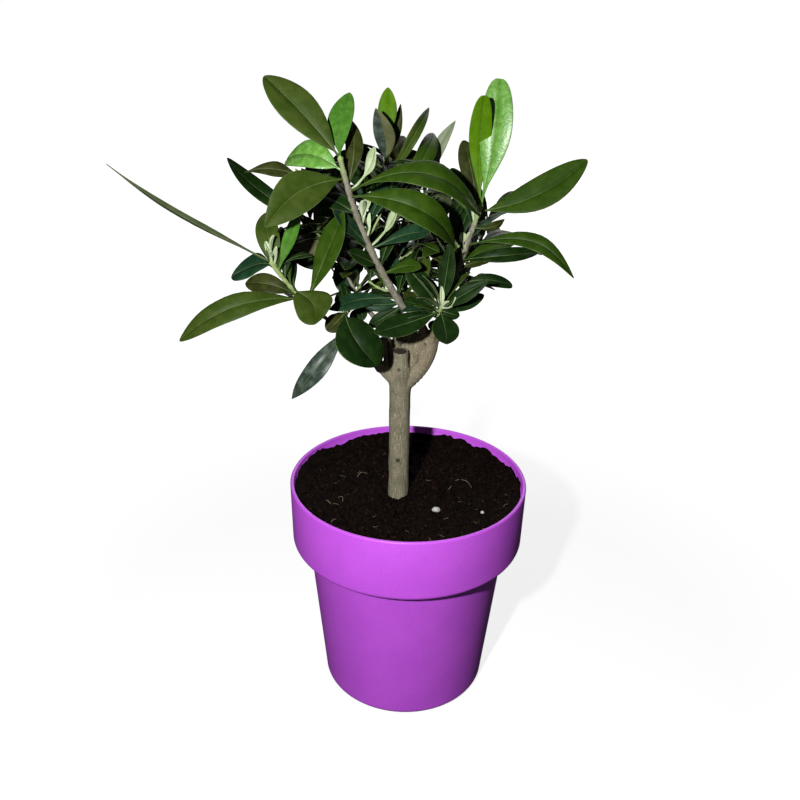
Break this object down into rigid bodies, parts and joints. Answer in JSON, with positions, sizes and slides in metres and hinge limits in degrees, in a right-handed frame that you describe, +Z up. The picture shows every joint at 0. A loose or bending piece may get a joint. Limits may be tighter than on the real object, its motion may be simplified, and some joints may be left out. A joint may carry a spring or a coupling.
{
  "type": "potted olive bonsai",
  "caption": "Small olive bonsai with a slim forked trunk and a loose crown of broad leaves, in soil in a round collared plastic pot.",
  "frame": {"origin": "middle of the pot's flat underside", "axes": "+Z up along the pot's axis, +X to the right of the plant's front, +Y away behind it"},
  "size_m": [0.2011, 0.1649, 0.3395],
  "materials": {
    "purple_plastic": "satin moulded plastic",
    "soil": "loose dark peat with fibres and a few white grains",
    "bark": "smooth grey-brown bark with pale pores",
    "olive_leaf": "leathery, dark and satin above, grey-green and dull below"
  },
  "bodies": {
    "root": {"pot": "purple_plastic", "soil": "soil", "trunk": "bark", "bough_centre": "bark", "bough_right": "bark", "bough_low_right": "bark", "bough_back_right": "bark", "bough_left": "bark", "bough_top": "bark", "bough_upper_left": "bark", "bough_back": "bark", "mass_centre": "olive_leaf", "mass_right": "olive_leaf", "mass_low_right": "olive_leaf", "mass_left": "olive_leaf", "mass_low_left": "olive_leaf", "mass_top": "olive_leaf", "mass_top_right": "olive_leaf", "mass_upper_left": "olive_leaf", "mass_back_left": "olive_leaf", "mass_back": "olive_leaf", "mass_back_low": "olive_leaf", "mass_back_right": "olive_leaf"}
  },
  "joints": []
}
